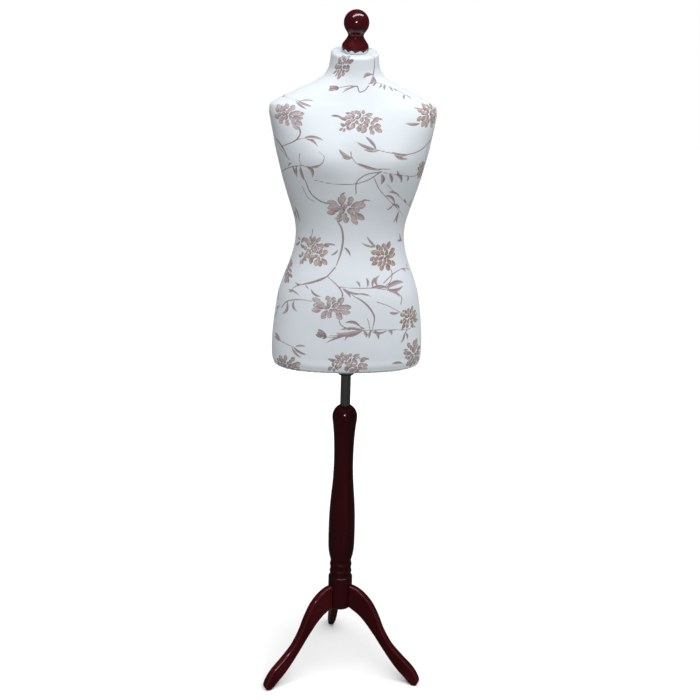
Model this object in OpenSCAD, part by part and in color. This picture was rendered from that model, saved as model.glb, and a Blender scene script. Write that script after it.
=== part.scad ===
// Female dress form on a turned wooden tripod stand.
// The torso slides up and down a steel pole, turns on it and is locked by a clamp knob.
// Origin: the point of the floor below the pole's axis. Front of the torso: -Y. Millimetres.

/* [Torso] */
// Height of the torso's lower edge above the floor
torso_z = 800; // [750:5:980]
// Height from the lower edge to the middle of the neck's sloping top
torso_h = 709; // [640:1:780]
// Width across the shoulders
shoulder_w = 372; // [340:1:420]
// Forward slope of the neck's top, in degrees
neck_slope = 15; // [0:1:20]
// Thickness of the jersey cover
cloth_t = 1.2; // [0.8:0.1:2]

/* [Pole] */
// Outer diameter of the steel pole
pole_d = 24; // [18:1:28]
// Wall thickness of the pole
pole_wall = 1.5; // [1:0.1:2.5]
// Length of the pole
pole_len = 556; // [480:1:600]

/* [Column] */
// Height of the column's lower end above the floor
column_z = 170; // [150:1:190]
// Height of the column's top above the floor
column_top = 697; // [660:1:720]
// Diameter of the plain collar that takes the legs
collar_d = 59.2; // [50:0.2:64]

/* [Legs] */
// Thickness of the leg boards
leg_t = 18; // [16:1:24]
// Distance from the pole's axis to the middle of a foot pad
foot_r = 206; // [200:1:210]

/* [Knobs] */
// Diameter of the ball of the neck knob
ball_d = 55.4; // [50:0.2:60]
// Diameter of the clamp knob
clamp_knob_d = 24; // [20:1:25]

/* [Hidden] */
$fn = 64;

wood = "#4a1216";
steel = "#8b8d90";
eps = 0.01;

// Clearances: a running fit, and a gap between pieces that only lie near each other.
run_fit = 0.05;
gap = 0.3;

// ---- Shape of the torso ----
// Each row is a level: height above the lower edge, half width, depth to the front,
// depth to the back, and the squareness of the section (2 is an ellipse).
BODY = [
    [0, 160, 85, 95, 2.25], [3, 167, 91, 102, 2.25], [12, 172.5, 96, 108, 2.25],
    [34, 175.5, 98, 112, 2.25], [66, 175, 100, 115, 2.25], [100, 172, 101, 115, 2.25],
    [140, 167, 102, 109, 2.25], [180, 160, 101, 99, 2.25], [215, 148, 97, 89, 2.2],
    [250, 134.5, 91, 81, 2.15], [280, 126.5, 87, 76, 2.15], [310, 123.5, 86, 74, 2.15],
    [335, 126, 88, 75, 2.15], [365, 134, 93, 79, 2.2], [400, 145, 102, 84, 2.25],
    [440, 157, 111, 89, 2.3], [462, 162.5, 115, 91, 2.35], [482, 167.5, 116, 92, 2.4],
    [502, 172, 113.5, 93, 2.45], [522, 175.5, 109, 94, 2.5],
    [560, 183, 95, 92, 2.6], [583, 186, 84, 87, 2.6], [596, 182, 77, 82, 2.5],
    [605, 168, 72, 77, 2.4], [615, 149, 67, 72, 2.3], [628, 121, 61, 66, 2.2],
    [642, 91, 56, 61, 2.1], [656, 69, 53, 57, 2.05], [672, 58, 51.5, 53, 2],
    [690, 54, 51, 51.5, 2], [709, 52.3, 50.6, 50.6, 2]
];
// The rows hold for this height and this width across the shoulders.
ROWS_H = 709;
ROWS_W = 372;
// Bust: its height, how far to each side its points lie, how far it stands out, how far it
// spreads up and across, and the hollow between the points.
bust_h = 480;
bust_x = 80;
bust_swell = 7;
bust_rise = 46;
bust_spread = 44;
bust_dip = 0.35;
bust_dip_w = 30;
// Level at which the neck begins to slope.
slope_start_h = 640;
// Inside of the foam: the same kind of rows, from the base board's seat to the neck block's hole.
neck_hole_r = 34.3;
seat_w = 138;
HOLLOW = [
    [0, seat_w, 66, 78], [13, seat_w, 66, 78], [30, 162, 87, 98], [66, 165, 90, 105],
    [140, 157, 92, 99], [215, 138, 87, 79], [310, 113.5, 76, 64], [400, 135, 92, 74],
    [480, 157, 106, 82], [550, 171, 88, 82], [572, 165, 74, 74], [588, 130, 62, 64],
    [604, 84, 50, 54], [622, 50, 42, 44], [642, neck_hole_r, neck_hole_r, neck_hole_r],
    [ROWS_H, neck_hole_r, neck_hole_r, neck_hole_r]
];
ARC_STEPS = 20;
// What the rows' widths and heights are scaled by.
width_k = shoulder_w / ROWS_W;
height_k = torso_h / ROWS_H;

function ease(t) = let (u = min(1, max(0, t))) u * u * (3 - 2 * u);
function signed_pow(v, p) = sign(v) * pow(abs(v), p);
function bell(v) = exp(-v * v);

// One ring point: the section's squared ellipse, the bust's swell and the neck's slope.
// inset moves the surface inwards.
function ring_point(row, angle, inset) =
    let (
        c = cos(angle),
        s = sin(angle),
        x = (row[1] * width_k - inset) * signed_pow(c, 2 / row[4]),
        y0 = ((s < 0 ? row[2] : row[3]) - inset) * signed_pow(s, 2 / row[4]),
        across = bell((abs(x) - bust_x) / bust_spread) - bust_dip * bell(x / bust_dip_w),
        swell = s < 0 ? bust_swell * bell((row[0] - bust_h) / bust_rise) * across : 0,
        y = y0 + swell * min(0, s),
        slope = tan(neck_slope) * ease((row[0] - slope_start_h) / (ROWS_H - slope_start_h))
    )
    [x, y, torso_z + row[0] * height_k + slope * y];

function ring(row, from, inset = 0, drop = 0) =
    [for (i = [0:ARC_STEPS])
        ring_point(row, from + 180 * i / ARC_STEPS, inset) - [0, 0, drop]];

// A half shell between an outer and an inner list of rings, closed by strips all round.
module half_shell(outer, inner) {
    n = ARC_STEPS + 1;
    count = len(outer);
    points = concat([for (r = outer) each r], [for (r = inner) each r]);
    // The four corners of a cell as two triangles.
    function cell(a, b, c, d) = [[a, b, c], [a, c, d]];
    function out(k, i) = k * n + i;
    function into(k, i) = (count + k) * n + i;
    last = count - 1;
    polyhedron(points, concat(
        [for (k = [0:last - 1], i = [0:ARC_STEPS - 1])
            each cell(out(k, i), out(k + 1, i), out(k + 1, i + 1), out(k, i + 1))],
        [for (k = [0:last - 1], i = [0:ARC_STEPS - 1])
            each cell(into(k, i), into(k, i + 1), into(k + 1, i + 1), into(k + 1, i))],
        [for (i = [0:ARC_STEPS - 1])
            each cell(out(last, i), into(last, i), into(last, i + 1), out(last, i + 1))],
        [for (i = [0:ARC_STEPS - 1])
            each cell(out(0, i), out(0, i + 1), into(0, i + 1), into(0, i))],
        [for (k = [0:last - 1])
            each cell(out(k, 0), into(k, 0), into(k + 1, 0), out(k + 1, 0))],
        [for (k = [0:last - 1])
            each cell(
                out(k, ARC_STEPS), out(k + 1, ARC_STEPS),
                into(k + 1, ARC_STEPS), into(k, ARC_STEPS)
            )]
    ));
}

last_row = len(BODY) - 1;
foam_inset = cloth_t + gap;

// How far the ring of row k is lowered, so that the top and the lower edge have thickness t.
function edge_drop(k, t) = k == last_row ? t : k == 0 ? -t : 0;

// The row of the hollow at the height of row k.
function hollow_row(k) =
    let (h = BODY[k][0])
    concat([h], [for (c = [1:3]) lookup(h, [for (r = HOLLOW) [r[0], r[c]]])], [BODY[k][4]]);

function foam_outside(from) =
    [for (k = [0:last_row]) ring(BODY[k], from, foam_inset, edge_drop(k, foam_inset))];
function foam_inside(from) =
    [for (k = [0:last_row]) ring(hollow_row(k), from, 0, edge_drop(k, foam_inset))];

// How far the cover reaches in under the lower edge, and the opening in its neck.
hem_reach = 36;
neck_opening_r = 15;
HEM = [0, BODY[0][1] - hem_reach, BODY[0][2] - hem_reach, BODY[0][3] - hem_reach, 2.25];
MOUTH = [ROWS_H, neck_opening_r / width_k, neck_opening_r, neck_opening_r, 2];

// Cover rings: the hem under the base, up the outside, then in over the neck.
function cover_outside(from) = concat(
    [ring(HEM, from)],
    [for (row = BODY) ring(row, from)],
    [ring(MOUTH, from)]
);
function cover_inside(from) = concat(
    [ring(HEM, from, 0, -cloth_t)],
    [for (k = [0:last_row]) ring(BODY[k], from, cloth_t, edge_drop(k, cloth_t))],
    [ring(MOUTH, from, 0, cloth_t)]
);

module foam_front() {
    color("ghostwhite") half_shell(foam_outside(180), foam_inside(180));
}

module foam_back() {
    color("ghostwhite") half_shell(foam_outside(0), foam_inside(0));
}

module cover_front() {
    color("whitesmoke") half_shell(cover_outside(180), cover_inside(180));
}

module cover_back() {
    color("whitesmoke") half_shell(cover_outside(0), cover_inside(0));
}

// A flat oval with the torso's plan, half width w, front f and back b.
module oval(w, f, b) {
    polygon([
        for (i = [0:2 * ARC_STEPS - 1])
            let (p = ring_point([0, w, f, b, 2.25], 180 * i / ARC_STEPS, 0)) [p[0], p[1]]
    ]);
}

// Elastic band in the cover's hem, below the base board.
hem_band_t = 2.2;
hem_band_w = 9;
module hem_band() {
    color("gainsboro")
        translate([0, 0, torso_z - hem_band_t])
            linear_extrude(hem_band_t)
                difference() {
                    oval(HEM[1] + hem_band_w, HEM[2] + hem_band_w, HEM[3] + hem_band_w);
                    oval(HEM[1] + gap, HEM[2] + gap, HEM[3] + gap);
                }
}

// ---- Base of the torso ----
board_t = 12;
board_z = torso_z + foam_inset;
flange_d = 96;
flange_t = 3;
flange_z = board_z - flange_t;
collar_h = 22.5;
flange_collar_d = 40;
bush_wall = 3;
bush_r = pole_d / 2 + run_fit + bush_wall;
screw_ring_r = 38;
screw_count = 4;
screw_r = 2;
tube_r = 15;
tube_wall = 1.5;
tube_len = 430;

module screw_ring() {
    for (i = [0:screw_count - 1])
        rotate([0, 0, 45 + 360 * i / screw_count]) translate([screw_ring_r, 0, 0]) children();
}

module base_board() {
    color("burlywood")
        difference() {
            translate([0, 0, board_z])
                linear_extrude(board_t) oval(seat_w - 1, 65, 77);
            translate([0, 0, board_z - 1]) cylinder(h = board_t + 2, r = tube_r + gap);
            screw_ring() translate([0, 0, board_z - 1]) cylinder(h = board_t + 2, r = screw_r, $fn = 24);
        }
}

// Height of the clamp screw's axis, low enough for the knob to turn below the hem band, and
// the boss that the screw goes through.
clamp_z = flange_z - 14;
boss_r = 8;
boss_y = 27;
stud_r = 3.95;
stud_hole_r = stud_r + run_fit;

module base_flange() {
    color(steel)
        difference() {
            union() {
                translate([0, 0, flange_z]) cylinder(h = flange_t, d = flange_d);
                translate([0, 0, flange_z - collar_h])
                    cylinder(h = collar_h + eps, d = flange_collar_d);
                translate([0, 0, clamp_z]) rotate([-90, 0, 0]) cylinder(h = boss_y, r = boss_r);
            }
            translate([0, 0, flange_z - collar_h - 1])
                cylinder(h = collar_h + flange_t + 2, r = bush_r + run_fit);
            translate([0, 0, clamp_z])
                rotate([-90, 0, 0]) cylinder(h = boss_y + 1, r = stud_hole_r, $fn = 32);
            screw_ring() translate([0, 0, flange_z - 1])
                cylinder(h = flange_t + 2, r = screw_r + gap, $fn = 24);
        }
}

screw_head_r = 4;
screw_head_t = 2;
screw_len = 13;
module flange_screws() {
    color("silver")
        screw_ring() {
            translate([0, 0, flange_z - screw_head_t])
                cylinder(h = screw_head_t, r = screw_head_r, $fn = 24);
            translate([0, 0, flange_z - eps]) cylinder(h = screw_len, r = screw_r - eps, $fn = 24);
        }
}

module guide_tube() {
    color("lightgray")
        translate([0, 0, board_z])
            difference() {
                cylinder(h = tube_len, r = tube_r);
                translate([0, 0, -1]) cylinder(h = tube_len + 2, r = tube_r - tube_wall);
            }
}

// Split nylon bush that runs on the pole; the flange turns on it and rests on its lip.
lip_t = 2.5;
lip_r = 18;
split_w = 2;
module guide_bush() {
    color("#222222")
        difference() {
            union() {
                translate([0, 0, flange_z - collar_h - run_fit])
                    cylinder(h = collar_h + flange_t - 1, r = bush_r);
                translate([0, 0, flange_z - collar_h - run_fit - lip_t])
                    cylinder(h = lip_t + eps, r = lip_r);
            }
            translate([0, 0, flange_z - collar_h - lip_t - 1])
                cylinder(h = collar_h + flange_t + lip_t + 2, r = pole_d / 2 + run_fit);
            translate([-lip_r - 1, -split_w / 2, flange_z - collar_h - lip_t - 1])
                cube([lip_r, split_w, collar_h + flange_t + lip_t + 2]);
        }
}

// ---- Clamp screw at the back of the flange ----
stud_tip_y = bush_r + gap;
stud_end_y = 58;
knob_face_y = 44;
knob_t = 20;
module clamp_stud() {
    color("silver")
        translate([0, stud_tip_y, clamp_z])
            rotate([-90, 0, 0]) cylinder(h = stud_end_y - stud_tip_y, r = stud_r, $fn = 32);
}

lobe_count = 5;
module clamp_knob() {
    lobe_r = clamp_knob_d * 0.2;
    color("#1c1c1e")
        difference() {
            union() {
                translate([0, knob_face_y, clamp_z]) rotate([-90, 0, 0]) {
                    cylinder(h = knob_t, d = clamp_knob_d * 0.72);
                    for (i = [0:lobe_count - 1])
                        rotate([0, 0, 360 * i / lobe_count])
                            translate([clamp_knob_d / 2 - lobe_r, 0, 3])
                                cylinder(h = knob_t - 4, r = lobe_r, $fn = 32);
                }
                translate([0, knob_face_y - 6, clamp_z]) rotate([-90, 0, 0]) cylinder(h = 7, r = 8);
            }
            translate([0, knob_face_y - 8, clamp_z])
                rotate([-90, 0, 0]) cylinder(h = stud_end_y - knob_face_y + 8 + gap, r = stud_hole_r, $fn = 32);
        }
}

// ---- Neck: block, insert, stud and turned knob, all square to the sloping top ----
neck_z = torso_z + torso_h;
block_len = 46;
insert_len = 20;
insert_r = 6;
module on_neck() {
    translate([0, 0, neck_z]) rotate([neck_slope, 0, 0]) children();
}

module neck_block() {
    color("burlywood")
        difference() {
            translate([0, 0, neck_z - block_len - foam_inset])
                cylinder(h = block_len + 20, r = neck_hole_r - gap);
            on_neck() translate([-60, -60, -foam_inset]) cube([120, 120, 60]);
            on_neck() translate([0, 0, -foam_inset - insert_len])
                cylinder(h = insert_len + 1, r = insert_r + run_fit, $fn = 32);
            on_neck() translate([0, 0, -34]) cylinder(h = 34, r = stud_r + 0.8, $fn = 32);
        }
}

module neck_insert() {
    color("goldenrod")
        on_neck() translate([0, 0, -foam_inset - insert_len])
            difference() {
                cylinder(h = insert_len, r = insert_r, $fn = 48);
                translate([0, 0, -1]) cylinder(h = insert_len + 2, r = stud_hole_r, $fn = 32);
            }
}

stud_low = -26;
stud_high = 26;
module knob_stud() {
    color("silver")
        on_neck() translate([0, 0, stud_low])
            cylinder(h = stud_high - stud_low, r = stud_r, $fn = 32);
}

// Turned outline: radius against height along the knob's axis.
knob_lift = 0.6;
flare_r = 29.3;
flare_h = 13;
knob_foot_r = 22;
ball_h = 62.4;
ball_join = 37; // angle below the ball's equator at which the waist meets it
module neck_knob() {
    ball_r = ball_d / 2;
    foot = [for (a = [-90:15:0])
        [knob_foot_r + (flare_r - knob_foot_r) * cos(a), flare_h + (flare_h - knob_lift) * sin(a)]];
    waist = [[27.6, 17], [24.4, 21.5], [21.2, 26], [18.7, 30.5], [17.2, 34], [17.4, 37], [19, 41.2]];
    ball = [for (a = [-ball_join:7:90]) [ball_r * cos(a), ball_h + ball_r * sin(a)]];
    color("#6b1420")
        on_neck() difference() {
            rotate_extrude($fn = 72)
                polygon(concat([[0, knob_lift]], foot, waist, ball, [[0, ball_h + ball_r]]));
            cylinder(h = stud_high + 1, r = stud_hole_r, $fn = 32);
        }
}

// ---- Pole ----
pole_z = 560;
pole_top = pole_z + pole_len;
pole_screw_z = 622;
pole_screw_r = 2.5;
module pole() {
    color(steel)
        difference() {
            translate([0, 0, pole_z]) cylinder(h = pole_len, d = pole_d);
            translate([0, 0, pole_z - 1]) cylinder(h = pole_len + 2, r = pole_d / 2 - pole_wall);
            translate([0, 0, pole_screw_z])
                rotate([-90, 0, 0]) cylinder(h = pole_d, r = pole_screw_r + gap, $fn = 24);
        }
}

module pole_cap() {
    color("#1c1c1e") {
        translate([0, 0, pole_top]) cylinder(h = 2, r = pole_d / 2 - 0.2);
        translate([0, 0, pole_top - 12]) cylinder(h = 12 + eps, r = pole_d / 2 - pole_wall - 0.1);
    }
}

module pole_screw() {
    color("silver")
        translate([0, 0, pole_screw_z]) rotate([-90, 0, 0]) {
            translate([0, 0, pole_d / 2 - 4]) cylinder(h = 18, r = pole_screw_r - eps, $fn = 24);
            translate([0, 0, pole_d / 2 + 13]) cylinder(h = 2.5, r = 4.4, $fn = 24);
        }
}

// ---- Column ----
// Turned outline above the beads: height above the floor and radius.
TURNING = [
    [293, 25.3], [299, 26.7], [308, 28.9], [322, 31.1], [342, 32.1], [368, 32.3], [404, 31.8],
    [436, 30.4], [467, 28.1], [500, 25.3], [530, 23.8], [560, 23.3], [590, 23.8], [620, 25.2],
    [645, 27.4], [658, 29.2], [668, 29.8]
];
bead_h = 9;
bead_r = 27;
groove_r = 25.6;
BEADS = [264, 282];
collar_top = 247;
dome_h = column_top - 668;

function spline_row(p0, p1, p2, p3, t) =
    0.5 * ((2 * p1) + (p2 - p0) * t + (2 * p0 - 5 * p1 + 4 * p2 - p3) * t * t
    + (3 * p1 - p0 - 3 * p2 + p3) * t * t * t);

// A smooth line through all the points of a list, with steps pieces between two points.
function smooth(list, steps) =
    let (n = len(list) - 1)
    concat(
        [for (i = [0:n - 1], k = [0:steps - 1])
            spline_row(list[max(0, i - 1)], list[i], list[i + 1], list[min(n, i + 2)], k / steps)],
        [list[n]]
    );

function bead(z) = [for (a = [-80:20:80]) [groove_r + (bead_r - groove_r) * cos(a), z + bead_h / 2 * sin(a)]];

mortise_w = 12;
mortise_r = 16;
tongue_top = 222;
module column() {
    collar_r = collar_d / 2;
    foot = [[0, column_z], [collar_r - 2, column_z], [collar_r - 0.6, column_z + 0.6], [collar_r, column_z + 2]];
    shoulder = [for (a = [0:18:90]) [collar_r - 3.8 + 3.8 * cos(a), collar_top + 5 * sin(a)]];
    turned = [for (p = smooth(TURNING, 3)) [p[1], p[0]]];
    dome = [for (a = [12:12:66]) [29.8 * cos(a), 668 + dome_h * sin(a) / sin(70)]];
    color(wood)
        difference() {
            rotate_extrude($fn = 96)
                polygon(concat(
                    foot, shoulder, bead(BEADS[0]), bead(BEADS[1]), turned, dome,
                    [[0, column_top]]
                ));
            translate([0, 0, pole_z - gap])
                cylinder(h = column_top, r = pole_d / 2 + run_fit);
            for (a = LEG_ANGLES)
                rotate([0, 0, a])
                    translate([mortise_r - gap, -mortise_w / 2 - gap / 2, column_z - 1])
                        cube([40, mortise_w + gap, tongue_top + gap - column_z + 1]);
            translate([0, 0, pole_screw_z])
                rotate([-90, 0, 0]) cylinder(h = 40, r = pole_screw_r, $fn = 24);
            translate([0, 0, pole_screw_z])
                translate([0, pole_d / 2 + 13, 0]) rotate([-90, 0, 0]) cylinder(h = 20, r = 4.5, $fn = 24);
            translate([0, 0, column_z - 1]) cylinder(h = bolt_len + 1, r = bolt_r - 0.4, $fn = 32);
        }
}

// ---- Legs ----
LEG_ANGLES = [90, 210, 330];
pad_t = 3;
// Outline of a leg board, distance from the axis and height: upper edge outwards, the toe,
// then the lower edge back.
UPPER_EDGE = [
    [28, 229], [45, 225], [65, 214], [86, 194], [104, 164], [120, 129], [142, 96], [171, 70],
    [197, 49], [212, 31], [219, 14], [215, pad_t]
];
LOWER_EDGE = [
    [198, pad_t], [184, 15], [163, 33], [143, 54], [118, 85], [92, 118], [61, 151], [28, 171]
];

module leg(angle) {
    color(wood)
        rotate([0, 0, angle]) {
            difference() {
                rotate([90, 0, 0])
                    translate([0, 0, -leg_t / 2])
                        linear_extrude(leg_t)
                            polygon(concat(smooth(UPPER_EDGE, 4), smooth(LOWER_EDGE, 4)));
                translate([0, 0, column_z - 20]) cylinder(h = 100, r = collar_d / 2 + 0.15, $fn = 96);
            }
            translate([mortise_r, -mortise_w / 2, column_z])
                cube([collar_d / 2 - mortise_r + 4, mortise_w, tongue_top - column_z]);
        }
}

module leg_rear() {
    leg(LEG_ANGLES[0]);
}

module leg_left() {
    leg(LEG_ANGLES[1]);
}

module leg_right() {
    leg(LEG_ANGLES[2]);
}

// Steel disc that keeps the legs' tongues in the column, with its bolt and screws.
plate_r = 25;
plate_t = 2.5;
bolt_r = 4;
bolt_len = 55;
plate_screw_r = 20;
module plate_screw_ring() {
    for (a = LEG_ANGLES)
        rotate([0, 0, a + 60]) translate([plate_screw_r, 0, 0]) children();
}

module leg_plate() {
    color(steel)
        difference() {
            translate([0, 0, column_z - plate_t]) cylinder(h = plate_t, r = plate_r);
            translate([0, 0, column_z - plate_t - 1]) cylinder(h = plate_t + 2, r = bolt_r + gap, $fn = 32);
            plate_screw_ring() translate([0, 0, column_z - plate_t - 1])
                cylinder(h = plate_t + 2, r = screw_r + gap, $fn = 24);
        }
}

module plate_screws() {
    color("silver")
        plate_screw_ring() {
            translate([0, 0, column_z - plate_t - 1.6]) cylinder(h = 1.6, r = 3.6, $fn = 24);
            translate([0, 0, column_z - plate_t - eps]) cylinder(h = plate_t, r = screw_r, $fn = 24);
        }
}

module centre_bolt() {
    color("silver") {
        translate([0, 0, column_z - plate_t - 5]) cylinder(h = 5, r = 7.5, $fn = 6);
        translate([0, 0, column_z - plate_t - eps])
            cylinder(h = bolt_len + plate_t - 2, r = bolt_r - 0.4 - eps, $fn = 32);
    }
}

pad_r = 7.5;
module foot_pads() {
    color("#26262a")
        for (a = LEG_ANGLES)
            rotate([0, 0, a]) translate([foot_r, 0, 0]) cylinder(h = pad_t, r = pad_r, $fn = 48);
}

foam_front();
foam_back();
cover_front();
cover_back();
hem_band();
base_board();
base_flange();
flange_screws();
guide_tube();
guide_bush();
clamp_stud();
clamp_knob();
neck_block();
neck_insert();
knob_stud();
neck_knob();
pole();
pole_cap();
pole_screw();
column();
leg_left();
leg_right();
leg_rear();
leg_plate();
plate_screws();
centre_bolt();
foot_pads();
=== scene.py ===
"""Dress form on a turned tripod stand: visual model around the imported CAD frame."""
import math
import random

import bmesh
import bpy
import numpy as np
from mathutils import Matrix, Vector


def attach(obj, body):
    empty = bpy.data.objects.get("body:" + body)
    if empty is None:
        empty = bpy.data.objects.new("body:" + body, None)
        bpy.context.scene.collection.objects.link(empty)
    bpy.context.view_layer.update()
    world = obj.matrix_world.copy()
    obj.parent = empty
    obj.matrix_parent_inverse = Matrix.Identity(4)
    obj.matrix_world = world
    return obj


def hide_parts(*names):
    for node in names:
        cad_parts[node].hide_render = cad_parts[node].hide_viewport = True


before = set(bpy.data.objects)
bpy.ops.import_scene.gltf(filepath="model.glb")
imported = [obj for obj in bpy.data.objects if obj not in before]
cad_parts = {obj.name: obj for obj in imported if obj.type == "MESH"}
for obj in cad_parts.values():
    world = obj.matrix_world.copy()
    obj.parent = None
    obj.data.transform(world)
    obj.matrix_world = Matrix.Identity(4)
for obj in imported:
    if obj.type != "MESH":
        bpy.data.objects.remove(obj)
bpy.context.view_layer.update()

MM = 0.001
TAU = 2 * math.pi

# ---- camera and stage

CAMERA_PLACE = (-0.2613, -2.4863, 1.530)
CAMERA_HEADING = math.radians(6.18)
CAMERA_PITCH = math.radians(15.6)
CAMERA_ROLL = math.radians(1.65)
CAMERA_LENS = 56.83


def make_camera():
    """A camera at the photograph's viewing angle, without shift or depth of field."""
    ch, sh = math.cos(CAMERA_HEADING), math.sin(CAMERA_HEADING)
    cp, sp = math.cos(CAMERA_PITCH), math.sin(CAMERA_PITCH)
    cr, sr = math.cos(CAMERA_ROLL), math.sin(CAMERA_ROLL)
    ahead = Vector((sh * cp, ch * cp, -sp))
    level = Vector((ch, -sh, 0))
    plumb = level.cross(ahead)
    right = level * cr + plumb * sr
    up = plumb * cr - level * sr
    data = bpy.data.cameras.new("camera")
    data.sensor_fit = "HORIZONTAL"
    data.sensor_width = 36
    data.lens = CAMERA_LENS
    data.clip_end = 60
    camera = bpy.data.objects.new("camera", data)
    bpy.context.scene.collection.objects.link(camera)
    turn = Matrix((right, up, -ahead)).transposed().to_4x4()
    camera.matrix_world = Matrix.Translation(CAMERA_PLACE) @ turn
    bpy.context.scene.camera = camera


# ---- node materials

# Spacings in metres: the jersey's wales and courses, the elastic's ribs and yarns, the plywood's layers.
WALE, COURSE, RIB, YARN, PLY = 0.0011, 0.0009, 0.0013, 0.0011, 0.0048


class Paint:
    """A material being built: a Principled shader and the nodes that feed it."""

    def __init__(self, name, **values):
        self.material = bpy.data.materials.new(name)
        self.material.use_nodes = True
        self.tree = self.material.node_tree
        self.shader = self.tree.nodes["Principled BSDF"]
        for key, value in values.items():
            self.shader.inputs[key.replace("_", " ")].default_value = value

    def put(self, value, socket):
        """Link an output to a socket, or set the socket's value."""
        if isinstance(value, bpy.types.NodeSocket):
            self.tree.links.new(value, socket)
        else:
            socket.default_value = value

    def node(self, kind, **inputs):
        """A new node, with values or links put into its inputs."""
        node = self.tree.nodes.new("ShaderNode" + kind)
        for key, value in inputs.items():
            self.put(value, node.inputs[key.replace("_", " ")])
        return node

    def coords(self, stretch=(1, 1, 1)):
        """The object's own coordinates, stretched."""
        return self.mapped(self.node("TexCoord").outputs["Object"], stretch)

    def mapped(self, source, stretch):
        return self.node("Mapping", Vector=source, Scale=stretch).outputs["Vector"]

    def attribute(self, name, output="Color"):
        node = self.node("Attribute")
        node.attribute_name = name
        return node.outputs[output]

    def channels(self, colour):
        return tuple(self.node("SeparateColor", Color=colour).outputs)

    def axes(self, vector):
        return tuple(self.node("SeparateXYZ", Vector=vector).outputs)

    def noise(self, vector, scale, detail=3, rough=0.5, twist=0.0):
        look = {"Scale": scale, "Detail": detail, "Roughness": rough, "Distortion": twist}
        return self.node("TexNoise", Vector=vector, **look).outputs[0]

    def cells(self, vector, scale):
        return self.node("TexVoronoi", Vector=vector, Scale=scale).outputs[0]

    def wave(self, vector, scale, twist, detail):
        """Wavy diagonal bands."""
        node = self.node("TexWave", Vector=vector, Scale=scale, Distortion=twist, Detail=detail)
        node.bands_direction = "DIAGONAL"
        return node.outputs["Fac"]

    def ramp(self, value, *stops):
        """Colours at places along 0 to 1."""
        node = self.node("ValToRGB", Fac=value)
        points = node.color_ramp.elements
        while len(points) < len(stops):
            points.new(0.5)
        for point, (place, colour) in zip(points, stops):
            point.position = place
            point.color = (*colour, 1)
        return node.outputs[0]

    def sum(self, kind, a, b=0.0, c=0.0):
        node = self.node("Math")
        node.operation = kind
        for socket, value in zip(node.inputs, (a, b, c)):
            self.put(value, socket)
        return node.outputs[0]

    def span(self, value, low, high, to_low=0.0, to_high=1.0, smooth=False):
        node = self.node("MapRange", Value=value, From_Min=low, From_Max=high, To_Min=to_low, To_Max=to_high)
        if smooth:
            node.interpolation_type = "SMOOTHSTEP"
        return node.outputs[0]

    def mix(self, share, a, b):
        """Colour a, turning into colour b as share goes from 0 to 1."""
        node = self.node("Mix")
        node.data_type = "RGBA"
        self.put(share, node.inputs[0])
        for socket, value in ((node.inputs[6], a), (node.inputs[7], b)):
            self.put(value if isinstance(value, bpy.types.NodeSocket) else (*value, 1), socket)
        return node.outputs[2]

    def colour(self, value):
        self.put(value, self.shader.inputs["Base Color"])

    def rough(self, value):
        self.put(value, self.shader.inputs["Roughness"])

    def bump(self, height, distance, strength=1.0):
        """Bump of a real height in metres, on top of any bump already there."""
        node = self.node("Bump", Strength=strength, Distance=distance, Height=height)
        last = self.shader.inputs["Normal"].links
        if last:
            self.tree.links.new(last[0].from_socket, node.inputs["Normal"])
        self.tree.links.new(node.outputs[0], self.shader.inputs["Normal"])


def lacquered_wood(name, shades, stretch, edge_highlight=None, gloss=0.3):
    """Stained hardwood under clear gloss lacquer; grain runs where stretch is small. A lighter colour, if
    given, is painted on rounded edges as a highlight, in patches.
    """
    dark, warm, grain = shades
    paint = Paint(name, Specular_IOR_Level=0.03, Coat_Weight=gloss, Coat_Roughness=0.07, Coat_IOR=1.5)
    along = paint.coords(stretch)
    broad = paint.noise(along, 3.2, 4, 0.55, 0.6)
    figure = paint.noise(along, 14, 5, 0.62, 1.2)
    pores = paint.noise(paint.coords(tuple(9 * s for s in stretch)), 16, 2, 0.7)
    lines = paint.span(paint.wave(along, 7, 9, 3), 0.25, 0.9)
    body = paint.mix(paint.span(broad, 0.35, 0.68), dark, warm)
    body = paint.mix(paint.sum("MULTIPLY", paint.span(figure, 0.44, 0.66), 0.62), body, grain)
    body = paint.mix(paint.sum("MULTIPLY", lines, 0.32), body, tuple(0.45 * c for c in dark))
    body = paint.mix(paint.span(pores, 0.58, 0.72, 0, 0.5), body, tuple(0.3 * c for c in dark))
    # Painted highlight: the given lighter colour along rounded edges (the 'edge' attribute), broken into
    # patches by noise.
    if edge_highlight:
        highlight_band = paint.attribute("edge", "Fac")
        highlight_patches = paint.noise(paint.coords(), 60, 4, 0.6)
        share = paint.sum("MULTIPLY", highlight_band, paint.span(highlight_patches, 0.2, 0.7, 0.35, 1.0))
        body = paint.mix(paint.sum("MULTIPLY", share, 0.65), body, edge_highlight)
    paint.colour(body)
    paint.rough(paint.span(paint.noise(paint.coords(), 35, 3), 0.3, 0.7, 0.26, 0.42))
    paint.bump(pores, 0.00006, 0.35)
    paint.bump(figure, 0.0001, 0.3)
    return paint.material


def brushed_metal(name, shade, tint, roughness, stretch, marks=0.5, scratch=0.00001):
    paint = Paint(name, Metallic=1.0)
    lines = paint.noise(paint.coords(stretch), 60, 4, 0.7)
    cloud = paint.noise(paint.coords(), 9, 3)
    body = paint.mix(paint.span(cloud, 0.35, 0.7), shade, tint)
    body = paint.mix(paint.span(lines, 0.3, 0.75, 0, marks), body, tuple(0.62 * c for c in shade))
    paint.colour(body)
    paint.rough(paint.span(lines, 0.25, 0.75, roughness * 0.75, roughness * 1.35))
    paint.bump(lines, scratch, 0.6)
    return paint.material


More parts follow.
